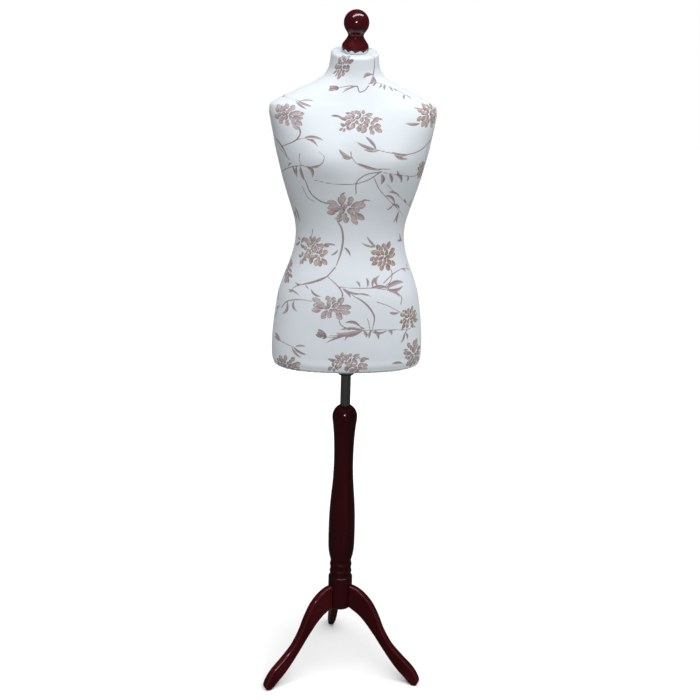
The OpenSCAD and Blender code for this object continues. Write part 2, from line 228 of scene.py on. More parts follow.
def moulded(name, shade, roughness, grain=900, height=0.00003):
    """Plastic or rubber out of a textured mould."""
    paint = Paint(name, Specular_IOR_Level=0.45)
    grit = paint.noise(paint.coords(), grain, 2, 0.6)
    dust = paint.noise(paint.coords(), 22, 4, 0.6)
    dusty = tuple(1.9 * c + 0.015 for c in shade)
    paint.colour(paint.mix(paint.span(dust, 0.45, 0.8, 0, 0.35), shade, dusty))
    paint.rough(paint.span(grit, 0.3, 0.7, roughness * 0.85, roughness * 1.15))
    paint.bump(grit, height, 0.6)
    return paint.material


def plywood(name):
    paint = Paint(name)
    _, _, z = paint.axes(paint.coords())
    ply = paint.sum("SINE", paint.sum("MULTIPLY", z, TAU / PLY))
    face = paint.noise(paint.coords((3, 40, 3)), 9, 4, 0.6, 0.8)
    edge = paint.mix(paint.span(ply, -0.4, 0.4), (0.46, 0.29, 0.15), (0.66, 0.48, 0.29))
    body = paint.mix(paint.span(face, 0.35, 0.7), edge, (0.72, 0.55, 0.35))
    paint.colour(body)
    paint.rough(paint.span(face, 0.3, 0.7, 0.58, 0.8))
    paint.bump(face, 0.0001, 0.4)
    return paint.material


def bead_foam(name):
    paint = Paint(name)
    beads = paint.cells(paint.coords(), 320)
    cloud = paint.noise(paint.coords(), 14, 3)
    paint.colour(paint.mix(paint.span(beads, 0.1, 0.6), (0.83, 0.83, 0.8), (0.6, 0.6, 0.57)))
    paint.rough(paint.span(cloud, 0.3, 0.7, 0.72, 0.9))
    paint.bump(beads, 0.0004, 0.5)
    return paint.material


INK_PLACES = (0.0, 0.5, 1.0)
MAUVE = ((0.53, 0.465, 0.485), (0.33, 0.245, 0.27), (0.19, 0.105, 0.135))
BROWN = ((0.57, 0.475, 0.415), (0.37, 0.25, 0.19), (0.20, 0.115, 0.09))


def jersey(name, printed=True):
    """White knitted jersey with the floral print; 'cloth' gives places on the fabric in metres."""
    paint = Paint(name, Sheen_Weight=0.22, Sheen_Roughness=0.45, Specular_IOR_Level=0.25)
    cloth = paint.attribute("cloth", "Vector")
    across, along, _ = paint.axes(cloth)
    wale = paint.sum("ABSOLUTE", paint.sum("SINE", paint.sum("MULTIPLY", across, math.pi / WALE)))
    course = paint.sum("SINE", paint.sum("MULTIPLY", along, TAU / COURSE))
    knit = paint.sum("MULTIPLY_ADD", course, 0.3, wale)
    cloud = paint.noise(cloth, 7, 3, 0.55)
    fleck = paint.noise(cloth, 420, 2, 0.7)
    slub = paint.noise(paint.mapped(cloth, (30, 900, 1)), 1, 3, 0.6)
    white = paint.mix(paint.span(cloud, 0.3, 0.7), (0.735, 0.79, 0.835), (0.78, 0.838, 0.882))
    white = paint.mix(paint.span(slub, 0.45, 0.75, 0, 0.10), white, (0.63, 0.68, 0.72))
    if printed:
        cover, hue, tone = paint.channels(paint.attribute("ink"))
        edge = paint.sum("ADD", cover, paint.span(fleck, 0.2, 0.8, -0.07, 0.07))
        mask = paint.span(edge, 0.42, 0.6, smooth=True)
        streak = paint.noise(paint.mapped(cloth, (260, 420, 1)), 1, 3, 0.65)
        depth = paint.sum("ADD", tone, paint.span(streak, 0.3, 0.7, -0.16, 0.16))
        mauve, brown = (paint.ramp(depth, *zip(INK_PLACES, shades)) for shades in (MAUVE, BROWN))
        white = paint.mix(paint.sum("MULTIPLY", mask, 0.93), white, paint.mix(hue, mauve, brown))
    paint.colour(white)
    paint.rough(paint.span(fleck, 0.2, 0.8, 0.8, 0.94))
    paint.bump(knit, 0.00012, 0.35)
    paint.bump(fleck, 0.00012, 0.4)
    return paint.material


def elastic(name):
    paint = Paint(name, Sheen_Weight=0.2, Sheen_Roughness=0.5)
    cloth = paint.attribute("cloth", "Vector")
    across, along, _ = paint.axes(cloth)
    rib = paint.sum("ABSOLUTE", paint.sum("SINE", paint.sum("MULTIPLY", along, math.pi / RIB)))
    yarn = paint.sum("SINE", paint.sum("MULTIPLY", across, TAU / YARN))
    fuzz = paint.noise(cloth, 500, 2, 0.7)
    # The grey between the ribs is painted shade in the grooves; the ribs' tops are lighter.
    paint.colour(paint.mix(paint.span(rib, 0.2, 0.9), (0.62, 0.64, 0.66), (0.82, 0.84, 0.86)))
    paint.rough(paint.span(fuzz, 0.2, 0.8, 0.75, 0.95))
    paint.bump(paint.sum("MULTIPLY_ADD", yarn, 0.3, rib), 0.0003, 0.6)
    return paint.material


# ---- mesh helpers


def piece(name, points, faces, body, material, replaced=None):
    """A new object in world metres that rides on a body, and may stand for a CAD node."""
    mesh = bpy.data.meshes.new(name)
    mesh.from_pydata([tuple(map(float, p)) for p in points], [], [tuple(map(int, f)) for f in faces])
    mesh.validate()
    mesh.polygons.foreach_set("use_smooth", [True] * len(mesh.polygons))
    obj = bpy.data.objects.new(name, mesh)
    bpy.context.scene.collection.objects.link(obj)
    mesh.materials.append(material)
    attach(obj, body)
    if replaced:
        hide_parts(replaced)
    return obj


def mark(obj, name, kind, key, values):
    """A named attribute on the points of an object's mesh."""
    attribute = obj.data.attributes.new(name, kind, "POINT")
    attribute.data.foreach_set(key, np.ravel(values))


def grid_faces(rows, columns, closed=False):
    """Quads of a grid of points, row by row; closed joins the last column to the first."""
    last = columns if closed else columns - 1
    i, j = np.meshgrid(np.arange(rows - 1), np.arange(last), indexing="ij")
    k = (j + 1) % columns
    quads = np.stack([i * columns + j, i * columns + k, (i + 1) * columns + k, (i + 1) * columns + j], -1)
    return quads.reshape(-1, 4).tolist()


def rod_faces(rows, around):
    """Faces of rings joined one to the next, with a lid on each end."""
    first, last = list(range(around)), (rows - 1) * around
    return grid_faces(rows, around, closed=True) + [first[::-1], [k + last for k in first]]


def circle(radius, angle, height):
    """Points at angles on a ring, or on a ring whose radius and height vary."""
    return np.stack(np.broadcast_arrays(radius * np.cos(angle), radius * np.sin(angle), height), -1)


def around_angles(count):
    return np.arange(count) * TAU / count


def smooth_line(points, steps):
    """Catmull-Rom line through points, with steps pieces between two of them."""
    p = np.asarray(points, float)
    padded = np.vstack([2 * p[0] - p[1], p, 2 * p[-1] - p[-2]])
    t = np.arange(steps)[:, None] / steps
    line = []
    for a, b, c, d in zip(padded, padded[1:], padded[2:], padded[3:]):
        square, cube = 2 * a - 5 * b + 4 * c - d, 3 * b - a - 3 * c + d
        line.append(0.5 * (2 * b + (c - a) * t + square * t**2 + cube * t**3))
    return np.vstack(line + [p[-1:]])


def lathe_mesh(outline, around):
    """Points and faces of a turned shape; outline is (radius, height) from one end to the other."""
    outline = np.asarray(outline, float)
    points = circle(outline[:, :1], around_angles(around), outline[:, 1:])
    return points.reshape(-1, 3), rod_faces(len(outline), around)


def even_steps(line, count, closed=False):
    """Points at even steps along a line, how far along it each lies, and its length."""
    run = np.concatenate([[0], np.cumsum(np.linalg.norm(np.diff(line, axis=0), axis=1))])
    stops = np.linspace(0, run[-1], count, endpoint=not closed)
    return np.stack([np.interp(stops, run, column) for column in line.T], -1), stops, run[-1]


def oval(angle, width, front, back, square):
    """A squared oval; the front is where the sine is negative."""
    c, s = np.cos(angle), np.sin(angle)
    x = width * np.sign(c) * np.abs(c) ** (2 / square)
    return x, np.where(s < 0, front, back) * np.sign(s) * np.abs(s) ** (2 / square)


def placed(points, matrix):
    points = np.asarray(points, float)
    m = np.array(matrix)
    return points @ m[:3, :3].T + m[:3, 3]


def set_edges(obj, angle, outwards=False, most_corners=None):
    """Smooth shading that breaks at edges sharper than angle, in degrees.

    outwards turns all faces outwards first, and faces with over most_corners corners are split.
    """
    bm = bmesh.new()
    bm.from_mesh(obj.data)
    if outwards:
        bmesh.ops.recalc_face_normals(bm, faces=bm.faces)
    if most_corners:
        bmesh.ops.triangulate(bm, faces=[f for f in bm.faces if len(f.verts) > most_corners])
    for edge in bm.edges:
        edge.smooth = len(edge.link_faces) != 2 or edge.calc_face_angle(0) < math.radians(angle)
    bm.to_mesh(obj.data)
    bm.free()


# ---- torso surface

TORSO_Z = 800
TORSO_H = 709
NECK_SLOPE = math.radians(15)
SLOPE_FROM = 640
# Height above the torso's base, half width, front depth, back depth, squareness.
BODY = np.array([
    [0, 160, 85, 95, 2.25], [3, 167, 91, 102, 2.25], [12, 172.5, 96, 108, 2.25],
    [34, 175.5, 98, 112, 2.25], [66, 175, 100, 115, 2.25], [100, 172, 101, 115, 2.25],
    [140, 167, 102, 109, 2.25], [180, 160, 101, 99, 2.25], [215, 148, 97, 89, 2.2],
    [250, 134.5, 91, 81, 2.15], [280, 126.5, 87, 76, 2.15], [310, 123.5, 86, 74, 2.15],
    [335, 126, 88, 75, 2.15], [365, 134, 93, 79, 2.2], [400, 145, 102, 84, 2.25],
    [440, 157, 111, 89, 2.3], [462, 162.5, 115, 91, 2.35], [482, 167.5, 116, 92, 2.4],
    [502, 172, 113.5, 93, 2.45], [522, 175.5, 109, 94, 2.5], [560, 183, 95, 92, 2.6],
    [583, 186, 84, 87, 2.6], [596, 182, 77, 82, 2.5], [605, 168, 72, 77, 2.4],
    [615, 149, 67, 72, 2.3], [628, 121, 61, 66, 2.2], [642, 91, 56, 61, 2.1],
    [656, 69, 53, 57, 2.05], [672, 58, 51.5, 53, 2], [690, 54, 51, 51.5, 2],
    [709, 52.3, 50.6, 50.6, 2],
])
HEM_REACH = 36
MOUTH_R = 15
NECK_EDGE = 4
BUST = {"height": 480, "rise": 46, "side": 80, "spread": 44, "swell": 7, "dip": 0.35, "dip_width": 30}


def body_rows(heights):
    """The BODY table, smoothly interpolated at heights."""
    x, y = BODY[:, 0], BODY[:, 1:]
    step = np.diff(x)[:, None]
    rate = np.diff(y, axis=0) / step
    slope = np.empty_like(y)
    slope[0], slope[-1] = rate[0], rate[-1]
    slope[1:-1] = (rate[:-1] * step[1:] + rate[1:] * step[:-1]) / (step[1:] + step[:-1])
    k = np.clip(np.searchsorted(x, heights, side="right") - 1, 0, len(x) - 2)
    s = ((heights - x[k]) / (x[k + 1] - x[k]))[:, None]
    d = step[k]
    values = (
        (2 * s**3 - 3 * s**2 + 1) * y[k] + (s**3 - 2 * s**2 + s) * d * slope[k]
        + (3 * s**2 - 2 * s**3) * y[k + 1] + (s**3 - s**2) * d * slope[k + 1]
    )
    return np.column_stack([heights, values])


def torso_ring(row, angle):
    """Points in mm of one level of the torso at angles."""
    h, s = row[0], np.sin(angle)
    x, y = oval(angle, *row[1:])
    rise = (h - BUST["height"]) / BUST["rise"]
    side = (np.abs(x) - BUST["side"]) / BUST["spread"]
    shape = np.exp(-side**2) - BUST["dip"] * np.exp(-((x / BUST["dip_width"]) ** 2))
    swell = np.where(s < 0, BUST["swell"] * math.exp(-rise**2) * shape, 0)
    y = y + swell * np.minimum(0, s)
    t = np.clip((h - SLOPE_FROM) / (TORSO_H - SLOPE_FROM), 0, 1)
    tilt = math.tan(NECK_SLOPE) * t * t * (3 - 2 * t)
    return np.stack([x, y, TORSO_Z + h + tilt * y], -1)


def cover_path(spacing):
    """Levels of the cover from its hem, under the base, up the body and over the neck's top."""
    base, top = BODY[0], BODY[-1]
    hem = base - np.array([0, HEM_REACH, HEM_REACH, HEM_REACH, 0])
    mouth = np.array([TORSO_H, MOUTH_R, MOUTH_R, MOUTH_R, 2])
    under = [hem + (base - hem) * t for t in np.linspace(0, 1, 40)[:-1]]
    edge = top - np.array([0, NECK_EDGE, NECK_EDGE, NECK_EDGE, 0])
    body = list(body_rows(np.linspace(0, TORSO_H - NECK_EDGE, 4000)))
    corner = []
    for a in np.linspace(0, math.pi / 2, 12)[1:]:
        inset = NECK_EDGE * (1 - math.cos(a))
        corner.append(top - np.array([NECK_EDGE * (1 - math.sin(a)), inset, inset, inset, 0]))
    over = [edge + (mouth - edge) * t for t in np.linspace(0, 1, 40)[1:]]
    levels = np.array(under + body + corner + over)
    # Even steps along the outline, between the side's own length and the front's.
    side = np.hypot(np.diff(levels[:, 0]), np.diff(levels[:, 1]))
    front = np.hypot(np.diff(levels[:, 0]), np.diff(levels[:, 2]))
    length = np.concatenate([[0], np.cumsum(0.6 * side + 0.4 * front)])
    stops = np.linspace(0, length[-1], int(length[-1] / spacing) + 1)
    return np.column_stack([np.interp(stops, length, levels[:, k]) for k in range(5)])


def half_cover(back, columns, spacing):
    """Grid of points in mm, and each point's place on the cloth: across from the centre, and along."""
    levels = cover_path(spacing)
    turn = 0.0 if back else math.pi
    angle = np.linspace(turn, turn + math.pi, 1600)
    points = np.zeros((len(levels), columns, 3))
    across = np.zeros((len(levels), columns))
    for i, level in enumerate(levels):
        points[i], stops, length = even_steps(torso_ring(level, angle), columns)
        across[i] = stops - length / 2
    step = np.linalg.norm(np.diff(points, axis=0), axis=2)
    along = np.concatenate([np.zeros((1, columns)), np.cumsum(step, axis=0)])
    waist = int(np.argmin(np.abs(levels[:, 0] - 300)))
    along += levels[waist, 0] - along[waist]
    return levels, points, across, along


# ---- the floral print
# Places on the cloth in mm: across from the centre front, and up from the base.

PETAL_GAP = 1.5
LEAST_PETAL = 6.5
SOFT = 4.0  # the ink's edge
BLOOM_RINGS = ((11, 0.46, 0.46), (9, 0.24, 0.44), (5, 0.05, 0.34))
FLORET_RINGS = ((8, 0.4, 0.54), (5, 0.08, 0.44))


class Print:
    """Ink on the cloth: how much (cover), how brown (hue) and how dark (tone), at each point."""

    def __init__(self, across, along):
        self.places = np.stack([across.ravel(), along.ravel()], -1)
        self.cover, self.hue, self.tone = np.zeros((3, across.size))

    def near(self, a, b, margin):
        low, high = np.minimum(a, b) - margin, np.maximum(a, b) + margin
        return np.flatnonzero(((self.places > low) & (self.places < high)).all(axis=1))

    def beside(self, base, axis, length, margin):
        """The points near a straight line: how far along it they are, beside it and past its ends."""
        a = np.array(base, float)
        where = self.near(a, a + axis * length, margin)
        p = self.places[where] - a
        t = (p @ axis) / length
        past = np.maximum(0, np.maximum(-t, t - 1)) * length
        return where, t, p[:, 1] * axis[0] - p[:, 0] * axis[1], past

    def lay(self, where, distance, hue, tone, gap=0.0):
        """Ink where distance is negative; gap leaves a bare line round it through older ink."""
        cover = np.clip(0.5 - distance / SOFT, 0, 1)
        old = self.cover[where]
        if gap:
            old = np.minimum(old, np.clip(0.5 + (distance - gap) / SOFT, 0, 1))
        new = cover >= old
        self.cover[where] = np.maximum(cover, old)
        self.hue[where] = np.where(new, hue, self.hue[where])
        self.tone[where] = np.where(new, tone, self.tone[where])

    def stem(self, points, start=1.3, end=1.3, tone=0.72, double=False):
        line = smooth_line(points, 8)
        where = self.near(line.min(0), line.max(0), 8)
        p = self.places[where]
        best = np.full(len(where), 1e9)
        side = np.zeros(len(where))
        share = np.zeros(len(where))
        for k, (a, b) in enumerate(zip(line, line[1:])):
            d = b - a
            t = np.clip(((p - a) @ d) / max(d @ d, 1e-9), 0, 1)
            off = p - a - t[:, None] * d
            dist = np.hypot(off[:, 0], off[:, 1])
            new = dist < best
            best = np.where(new, dist, best)
            side = np.where(new, np.sign(d[0] * off[:, 1] - d[1] * off[:, 0]), side)
            share = np.where(new, (k + t) / (len(line) - 1), share)
        half = start + (end - start) * share
        if double:
            half = np.maximum(half * (0.35 + 2.66 * share * (1 - share)), 1.0)
        self.lay(where, best - half, 0.08, tone + 0.16 * side)

    def leaf(self, base, tip, width, bend=0.12, tone=0.45, hue=0.05):
        axis = np.subtract(tip, base)
        length = np.hypot(*axis)
        where, t, s, past = self.beside(base, axis / length, length, length * 0.3 + width)
        s = s - bend * length * 4 * t * (1 - t)
        inside = np.clip(t, 0, 1)
        half = width * np.sin(math.pi * inside**0.85) ** 0.9
        shade = tone + np.where(s > 0, 0.26, -0.14) + 0.18 * (1 - inside)
        self.lay(where, np.abs(s) - half + past, hue, shade)

    def petal(self, base, angle, length, width, hue, tone, gap=PETAL_GAP):
        axis = np.array([math.cos(angle), math.sin(angle)])
        where, t, s, past = self.beside(base, axis, length, width)
        inside = np.clip(t, 0, 1)
        distance = np.abs(s) - 0.5 * width * np.sin(math.pi * inside**1.15) ** 0.72 + past
        rim = np.clip(1 + distance / 2.6, 0, 1) ** 1.5
        shade = tone + 0.62 * rim + 0.55 * (1 - inside) ** 2 + 0.14 * np.sign(s)
        self.lay(where, distance, hue, shade, gap)

    def bloom(self, centre, width, height, hue, seed, rings=BLOOM_RINGS, tone=0.1, tilt=0.0):
        """A flower: rings of petals (count, distance out, length), as shares of its half size."""
        rnd = random.Random(seed)
        for count, out, size in rings:
            start = rnd.random() * TAU
            for k in range(count):
                a = start + k * TAU / count + rnd.uniform(-0.16, 0.16)
                wide, high = 0.5 * width * math.cos(a), 0.5 * height * math.sin(a)
                r = out * rnd.uniform(0.9, 1.08)
                base = (
                    centre[0] + r * (wide * math.cos(tilt) - high * math.sin(tilt)),
                    centre[1] + r * (wide * math.sin(tilt) + high * math.cos(tilt)),
                )
                heading = math.atan2(high, wide) + tilt + rnd.uniform(-0.25, 0.25)
                length = (abs(wide) + abs(high)) * size * rnd.uniform(0.9, 1.15)
                room = 0.45 * (width + height) * math.pi * (out + 0.5 * size) / count
                across = max(min(0.95 * length, room), LEAST_PETAL)
                brown = min(1, max(0, hue + rnd.uniform(-0.18, 0.18)))
                self.petal(base, heading, length, across, brown, tone + rnd.uniform(-0.1, 0.16))

    def spray(self, centre, width, height, hue, seed, turn=0.0):
        """A looser cluster: petals of several small flowers, with leaves at its ends."""
        c, s = math.cos(turn), math.sin(turn)

        def at(x, y):
            x, y = 0.5 * width * x, 0.5 * height * y
            return centre[0] + x * c - y * s, centre[1] + x * s + y * c

        for base, tip, half, bend in (
            ((-0.35, 0.15), (-0.98, 0.22), 4.2, 0.1), ((-0.3, 0.3), (-0.72, 0.62), 3.6, -0.1),
            ((0.45, 0.45), (1.0, 0.5), 3.2, 0.08),
        ):
            self.leaf(at(*base), at(*tip), half, bend, 0.5)
        self.stem([at(-0.15, 0.0), at(-0.4, -0.35), at(-0.58, -0.55)], 1.2, 1.2)
        for k, (place, wide, high, browner, rings, tone) in enumerate((
            ((-0.62, -0.68), 0.26, 0.46, 0, ((6, 0.15, 0.8),), 0.15),
            ((-0.18, 0.12), 0.46, 0.8, 0, FLORET_RINGS, 0.1),
            ((0.42, -0.2), 0.5, 0.85, 0.2, FLORET_RINGS, 0.16),
            ((0.1, 0.55), 0.4, 0.5, 0, ((7, 0.2, 0.74),), 0.1),
        )):
            self.bloom(at(*place), wide * width, high * height, hue + browner, seed + 1 + k, rings, tone)
        self.leaf(at(-0.1, -0.5), at(-0.02, -1.0), 5.5, 0.15, 0.4)

    def bud(self, base, tip, width, hue=0.15):
        axis = np.subtract(tip, base)
        length, heading = np.hypot(*axis), math.atan2(axis[1], axis[0])
        for lean, share in ((0.294, 1), (-0.294, 1), (0, 0.92)):
            self.petal(base, heading + lean, length * share, width, hue, 0.5, gap=1.0)
        for lean in (0.75, -0.75):
            half_way = 0.5 * length * np.array([math.cos(heading + lean), math.sin(heading + lean)])
            self.leaf(base, base + half_way, 2.0, 0.1, 0.75)


STEMS = [
    # points, half width at the start, half width at the end
    ([(28, 752), (44, 748), (43, 722), (38, 700)], 1.2, 1.6), ([(-38, 658), (-18, 655), (2, 650)], 1.3, 1.1),
    ([(26, 661), (18, 646), (6, 639), (2, 650)], 1.2, 1.7),
    ([(26, 666), (50, 682), (78, 680), (100, 665), (112, 650)], 1.1, 1.1),
    ([(-174, 636), (-148, 628), (-122, 619)], 1.4, 1.2),
    ([(-130, 562), (-124, 546), (-138, 528), (-176, 514)], 2.4, 1.2),
    ([(-140, 528), (-118, 534), (-92, 532)], 1.1, 1.1),
    ([(34, 514), (70, 508), (108, 504), (150, 512), (188, 534), (212, 554)], 1.3, 1.6),
    ([(186, 532), (178, 510), (182, 488), (170, 474)], 1.3, 1.3),
    ([(-210, 536), (-188, 510), (-158, 486)], 1.6, 1.4),
    ([(-15, 506), (-12, 494), (0, 480), (24, 473), (72, 473)], 1.5, 1.0),
    ([(-194, 455), (-160, 468), (-128, 475), (-98, 474), (-78, 482), (-72, 498), (-84, 508)], 1.4, 1.1),
    ([(-125, 476), (-130, 488), (-128, 502)], 1.2, 1.1),
    ([(-92, 444), (-50, 437), (-8, 436), (24, 446), (52, 467)], 1.1, 1.4),
    ([(50, 466), (20, 458), (0, 440), (0, 414)], 1.5, 1.4),
    ([(52, 466), (92, 460), (142, 454), (166, 462)], 1.2, 1.2),
    ([(38, 450), (52, 424), (82, 394), (108, 372), (124, 358)], 1.5, 1.2),
    ([(66, 438), (98, 410), (130, 388), (162, 374)], 1.2, 1.2),
    ([(-114, 442), (-102, 416), (-82, 398), (-54, 388)], 1.4, 2.0),
    ([(-122, 428), (-108, 404), (-92, 394)], 1.1, 1.1),
    ([(-140, 190), (-122, 199), (-92, 208), (-62, 222), (-40, 246)], 1.2, 1.8),
    ([(-104, 304), (-96, 314), (-94, 328)], 1.1, 1.1),
    ([(84, 246), (92, 232), (88, 214), (76, 204)], 1.3, 1.2),
    ([(70, 210), (94, 228), (124, 237), (160, 229)], 1.6, 1.2),
    ([(-58, 226), (-36, 207), (-24, 190), (-25, 177), (-33, 168)], 1.3, 2.6),
    ([(-30, 203), (10, 201), (50, 200), (86, 192), (106, 184), (117, 172), (115, 158)], 1.1, 1.5),
    ([(-92, 167), (-125, 166), (-156, 156), (-174, 138)], 1.3, 1.5),
    ([(-212, 104), (-198, 118), (-190, 138)], 1.3, 1.1), ([(55, 169), (82, 158), (114, 140)], 1.4, 1.1),
    ([(20, 105), (60, 104), (104, 100), (136, 96), (152, 102), (168, 116)], 1.2, 1.3),
    ([(136, 96), (126, 86), (122, 74)], 1.2, 1.1), ([(-30, 136), (-26, 118), (-6, 106)], 1.2, 2.0),
    ([(34, 132), (38, 120), (40, 108)], 1.2, 1.3), ([(-58, 88), (-36, 88), (-16, 94)], 1.2, 1.1),
    ([(-186, 64), (-150, 58), (-128, 53)], 1.4, 1.2),
]
THICK_STEMS = [
    ([(-44, 358), (-29, 336), (-24, 310), (-28, 280), (-38, 250)], 2.6),
    ([(-2, 185), (20, 173), (38, 156), (50, 134), (47, 108)], 2.4),
    ([(-62, 224), (-88, 211), (-112, 203)], 2.3),
]
LEAVES = [
    # base, tip, half width, bend
    ((38, 702), (14, 672), 4.0, -0.10), ((38, 700), (26, 664), 4.2, 0.08), ((40, 698), (38, 668), 3.4, 0.1),
    ((4, 652), (-34, 640), 2.6, -0.08), ((-4, 652), (-30, 650), 2.0, 0.05), ((56, 682), (48, 664), 2.8, 0.1),
    ((66, 682), (62, 660), 3.6, -0.1), ((74, 680), (80, 660), 3.6, 0.1), ((40, 677), (34, 664), 2.4, 0.1),
    ((86, 676), (96, 664), 3.0, -0.12), ((112, 652), (124, 636), 3.0, 0.12),
    ((110, 652), (106, 632), 3.4, -0.12), ((-128, 620), (-94, 606), 4.2, -0.1),
    ((-122, 620), (-90, 620), 3.0, 0.1), ((-134, 620), (-106, 598), 3.6, -0.12),
    ((-196, 640), (-178, 636), 4.0, 0.1), ((-134, 566), (-124, 540), 3.4, 0.1),
    ((-116, 536), (-70, 530), 3.6, 0.12), ((-112, 533), (-84, 516), 2.8, 0.15),
    ((-58, 586), (-30, 578), 3.6, 0.1), ((142, 570), (104, 572), 4.6, 0.06),
    ((148, 604), (124, 608), 2.8, 0.08), ((38, 514), (-4, 528), 4.4, 0.08),
    ((40, 514), (14, 540), 4.4, -0.08), ((44, 510), (10, 512), 3.2, 0.06), ((74, 510), (122, 506), 4.2, -0.1),
    ((78, 504), (118, 496), 3.8, -0.1), ((-202, 530), (-162, 490), 3.4, 0.08),
    ((-12, 492), (-42, 514), 5.2, 0.1), ((-12, 492), (-36, 496), 2.4, 0.1), ((0, 482), (52, 470), 4.2, -0.06),
    ((-150, 471), (-142, 452), 3.2, 0.1), ((-138, 474), (-136, 446), 4.0, -0.06),
    ((-128, 474), (-114, 440), 5.0, -0.08), ((-114, 475), (-98, 448), 5.2, 0.28),
    ((-164, 470), (-150, 480), 2.6, 0.1), ((-104, 474), (-74, 484), 3.6, -0.1),
    ((52, 462), (52, 436), 5.6, 0.2), ((70, 463), (78, 440), 4.6, 0.1), ((84, 462), (102, 438), 5.0, 0.25),
    ((118, 457), (118, 442), 4.0, 0.2), ((96, 460), (88, 472), 2.6, 0.1), ((64, 412), (92, 386), 4.0, 0.2),
    ((70, 420), (104, 408), 2.8, 0.1), ((88, 390), (70, 376), 2.8, 0.1), ((108, 378), (84, 392), 3.4, -0.1),
    ((104, 372), (92, 344), 3.2, 0.1), ((106, 370), (104, 340), 3.4, -0.08),
    ((128, 390), (118, 404), 3.0, 0.1), ((146, 380), (150, 398), 3.4, 0.1), ((-4, 394), (40, 397), 2.6, 0.1),
    ((-36, 402), (-22, 418), 4.2, 0.1), ((-150, 376), (-134, 336), 4.0, 0.08),
    ((-152, 366), (-144, 344), 5.4, -0.1), ((-34, 286), (-52, 272), 2.8, 0.1),
    ((-22, 292), (-6, 270), 3.2, 0.1), ((-70, 294), (-36, 294), 3.4, 0.08),
    ((-128, 290), (-106, 304), 5.2, 0.2), ((-132, 296), (-154, 284), 4.4, 0.1),
    ((-130, 300), (-146, 304), 3.0, 0.1), ((52, 292), (14, 304), 3.0, 0.08),
    ((52, 292), (28, 318), 3.4, 0.06), ((132, 296), (118, 320), 3.4, 0.1), ((130, 302), (108, 304), 3.0, 0.1),
    ((124, 236), (138, 226), 2.2, 0.1), ((148, 234), (150, 248), 2.2, 0.1),
    ((-140, 190), (-156, 178), 2.6, 0.2), ((-118, 200), (-138, 204), 2.6, 0.1),
    ((-112, 201), (-98, 190), 2.2, 0.1), ((16, 203), (4, 218), 3.0, -0.15),
    ((32, 203), (28, 226), 3.4, -0.15), ((44, 203), (50, 226), 3.4, 0.1), ((58, 202), (64, 230), 4.6, 0.35),
    ((76, 198), (126, 206), 7.0, 0.12), ((80, 196), (124, 200), 5.4, -0.16), ((40, 201), (86, 196), 4.0, 0.1),
    ((84, 190), (112, 172), 2.8, 0.15), ((-22, 200), (26, 190), 3.2, -0.12),
    ((-24, 200), (-4, 178), 3.8, 0.1), ((10, 188), (44, 180), 2.4, 0.08),
    ((-156, 158), (-172, 124), 5.0, 0.25), ((-158, 182), (-118, 172), 2.8, 0.12),
    ((-134, 164), (-122, 138), 4.0, -0.35), ((-96, 196), (-68, 180), 3.4, -0.2),
    ((-200, 126), (-180, 140), 3.4, 0.1), ((-204, 146), (-196, 168), 4.0, 0.1),
    ((84, 143), (114, 140), 3.6, -0.1), ((118, 138), (130, 146), 2.4, 0.1), ((26, 106), (-38, 98), 8.0, 0.1),
    ((26, 104), (-30, 104), 4.0, -0.1), ((14, 98), (-16, 78), 4.6, -0.25), ((-18, 122), (22, 108), 4.4, 0.2),
    ((26, 103), (34, 86), 4.6, 0.12), ((44, 104), (40, 84), 4.0, -0.1), ((52, 103), (62, 80), 4.4, 0.12),
    ((44, 102), (84, 102), 3.6, -0.15), ((84, 101), (94, 88), 4.4, 0.2), ((30, 108), (16, 116), 2.6, 0.1),
    ((128, 88), (116, 66), 3.6, 0.1), ((130, 90), (136, 70), 3.4, 0.12), ((162, 110), (172, 130), 4.2, 0.1),
    ((160, 106), (178, 112), 3.4, 0.1), ((150, 100), (166, 94), 2.6, 0.1), ((-12, 92), (-60, 72), 2.8, -0.06),
    ((-20, 94), (-52, 92), 1.8, 0.05), ((-196, 74), (-170, 60), 5.0, 0.1), ((-198, 66), (-176, 58), 3.0, 0.1),
    ((-134, 55), (-98, 42), 3.8, -0.1), ((-130, 56), (-100, 60), 2.8, 0.1),
    ((-138, 54), (-110, 32), 3.6, -0.12), ((96, 20), (128, 16), 4.2, 0.08), ((124, 48), (142, 46), 2.6, 0.1),
]
BLOOMS = [
    # centre, width, height, brown, seed, tilt, how dark
    ((-32, 716), 42, 60, 0.45, 11, 0.3, 0.36), ((-151, 582), 78, 50, 0.25, 12, -0.2, 0.06),
    ((166, 590), 66, 62, 0.85, 13, 0.0, 0.2), ((170, 466), 40, 44, 0.8, 14, 0.0, 0.4),
    ((-20, 378), 90, 62, 0.35, 15, -0.15, 0.06), ((73, 270), 68, 62, 0.9, 17, 0.0, 0.42),
    ((-170, 222), 44, 56, 0.2, 18, 0.2, 0.4), ((-49, 155), 92, 54, 0.35, 19, -0.1, 0.1),
    ((139, 123), 56, 50, 0.85, 20, 0.0, 0.4), ((158, 34), 58, 66, 0.6, 22, 0.1, 0.34),
    ((-148, 8), 72, 44, 0.45, 23, 0.0, 0.2),
]
SPRAYS = [
    # centre, width, height, brown, seed, turn
    ((6, 572), 100, 50, 0.25, 31, -0.12), ((-6, 28), 100, 46, 0.25, 41, -0.1),
    ((-94, 279), 80, 62, 0.55, 51, -0.1),
]
BUDS = [
    # base, tip, width
    ((-38, 658), (-62, 662), 9), ((-172, 636), (-192, 640), 8), ((-56, 88), (-80, 98), 10),
]


